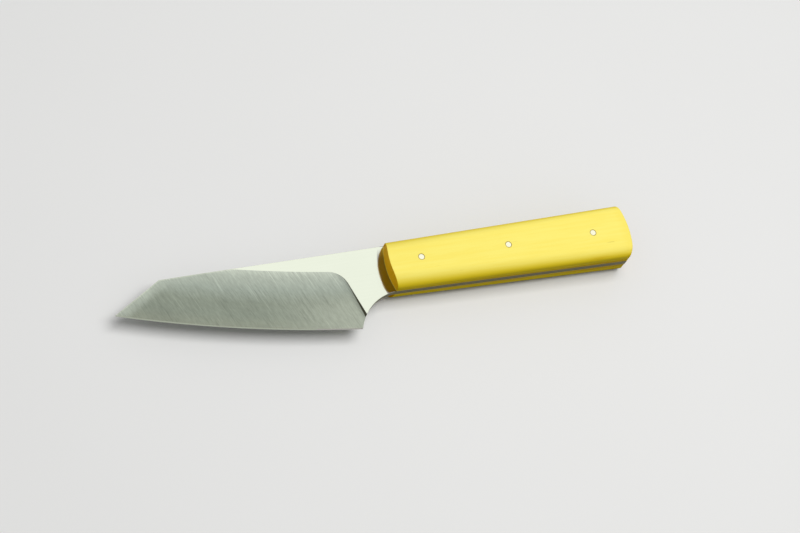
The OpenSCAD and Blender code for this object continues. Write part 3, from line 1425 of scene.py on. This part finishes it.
@dataclass
class Fastenings:
    """The three pins, and the glue, which keeps its CAD shape and gets its finish here."""

    plan: KnifePlan
    nodes: dict[str, bpy.types.Object]
    materials: Materials
    pin_rounding: float = 0.3
    pin_segments: int = 3
    pin_turn: float = math.radians(35)

    def rod(self, name: str, place: Vector) -> Workpiece:
        """Returns one pin, rubbed flush at both ends, with eased rims."""
        total, radii = self.plan.total, (self.plan.pin / 2,) * 2
        foot = at(place, -total / 2)
        piece = Workpiece.turning(name, foot, radii, total, ROUND_SIDES, self.materials)

        def rim(edge: bmesh.types.BMEdge) -> bool:
            """Says whether an edge runs round an end."""
            return abs(abs(mean_height(edge)) - total / 2) < NEAR

        piece.ease(rim, self.pin_rounding, self.pin_segments)
        # The rims take the second material, whose darker yellowish tone is painted shade.
        piece.dress(1, lambda face: 0.05 < abs(face.normal.z) < 0.99)
        return piece.shade(self.pin_turn)

    def build(self) -> list[bpy.types.Object]:
        """Returns the finished pins."""
        rods = []
        for name, place in zip(("front_pin", "middle_pin", "rear_pin"), self.plan.pin_places()):
            rod = self.rod(f"{name}_rod", place).settle(self.plan.rest)
            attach(rod, BODY)
            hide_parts(name)
            rods.append(rod)
        return rods

    def dress_glue(self, material: bpy.types.Material) -> None:
        """Gives each film and sleeve its material."""
        for name, node in self.nodes.items():
            if name.endswith("_bond"):
                for slot in node.material_slots:
                    slot.material = material
                LOG.info("%s dressed", name)


# ---- The studio


@dataclass(frozen=True)
class View:
    """The camera, at the photograph's viewing angle."""

    azimuth: float = math.radians(-134.674)
    elevation: float = math.radians(60.0)
    roll: float = math.radians(31.824)
    distance: float = 0.98896
    aim: Point = (0.01018, 0.00737, 0.0114)
    lens: float = 101.915

    def place(self) -> None:
        """Puts the camera in the scene."""
        outward = turned(self.azimuth)
        back = Vector(at(outward * math.cos(self.elevation), math.sin(self.elevation)))
        right = Vector((-outward.y, outward.x, 0.0))
        right.rotate(Matrix.Rotation(self.roll, 3, back))
        data = bpy.data.cameras.new("view")
        data.lens = self.lens
        camera = bpy.data.objects.new("view", data)
        bpy.context.scene.collection.objects.link(camera)
        turn = Matrix((right, back.cross(right), back)).transposed().to_4x4()
        place = Vector(self.aim) + back * self.distance
        camera.matrix_world = Matrix.Translation(place) @ turn
        bpy.context.scene.camera = camera


@dataclass(frozen=True)
class Studio:
    """Plain pale floor, one large soft lamp overhead, and an even fill."""

    floor_size: float = 8.0
    fill: float = 0.33
    lamp_size: float = 0.8
    lamp_power: float = 11.2
    lamp_place: Point = (0.25, -0.02, 1.20)

    def floor(self) -> None:
        """Lays the floor."""
        Workpiece.clear()
        bpy.ops.mesh.primitive_plane_add(size=self.floor_size)
        floor = bpy.context.active_object
        floor.name = "floor"
        floor.data.materials.append(PaleFloor("pale_floor").material())

    def lamp(self) -> None:
        """Hangs the soft lamp."""
        data = bpy.data.lights.new("soft_lamp", "AREA")
        data.shape = "SQUARE"
        data.size = self.lamp_size
        data.energy = self.lamp_power
        lamp = bpy.data.objects.new("soft_lamp", data)
        bpy.context.scene.collection.objects.link(lamp)
        lamp.location = self.lamp_place
        lamp.rotation_euler = Vector(self.lamp_place).to_track_quat("Z", "Y").to_euler()
        lamp.visible_glossy = False

    def surround(self) -> None:
        """Makes the world an even fill that is seen and mirrored as white."""
        world = bpy.data.worlds.new("surround")
        bpy.context.scene.world = world
        world.use_nodes = True
        sheet = ShaderSheet(world.node_tree)
        strength = self.fill + sheet.shown() * (1 - self.fill)
        back = sheet.node("ShaderNodeBackground", {}, {"Color": grey(1.0), "Strength": strength})
        sheet.node("ShaderNodeOutputWorld", {}, {"Surface": back})

    def set_up(self) -> None:
        """Builds the studio."""
        bpy.context.scene.view_settings.view_transform = "Standard"
        self.floor()
        self.lamp()
        self.surround()


def main() -> None:
    """Builds the knife round the frame, then the studio."""
    logging.basicConfig(level=logging.INFO, format="%(name)s: %(message)s")
    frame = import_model()

    low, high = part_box("blade")
    rest = Vector((low.x, high.y, (low.z + high.z) / 2))
    plan = KnifePlan(rest)
    butt_x, belly_y, _ = plan.laid(Vector((plan.butt, plan.belly(plan.butt))))
    wood = YellowWood("oiled_yellow_wood", belly_y=belly_y, butt_x=butt_x, middle_z=rest.z)
    woods = [wood.material()]
    pin_ends = PinSteel("pin_ends").material()
    # Pin rims in painted shade: a darker, yellowish ring round each pin end.
    pin_rim_shade = PinSteel("pin_rim_shade", tint(0.60, 0.56, 0.27), tint(0.45, 0.41, 0.17)).material()
    fastenings = Fastenings(plan, frame["nodes"], [pin_ends, pin_rim_shade])
    pieces = [Blade(plan).build()]
    pieces += [Scale(plan, side, woods).build() for side in Side]
    pieces += fastenings.build()
    for piece in pieces:
        LOG.info("%s: %d faces", piece.name, len(piece.data.polygons))
    fastenings.dress_glue(Glue("epoxy_line").material())

    Studio().set_up()
    View().place()


if __name__ == "__main__":
    main()
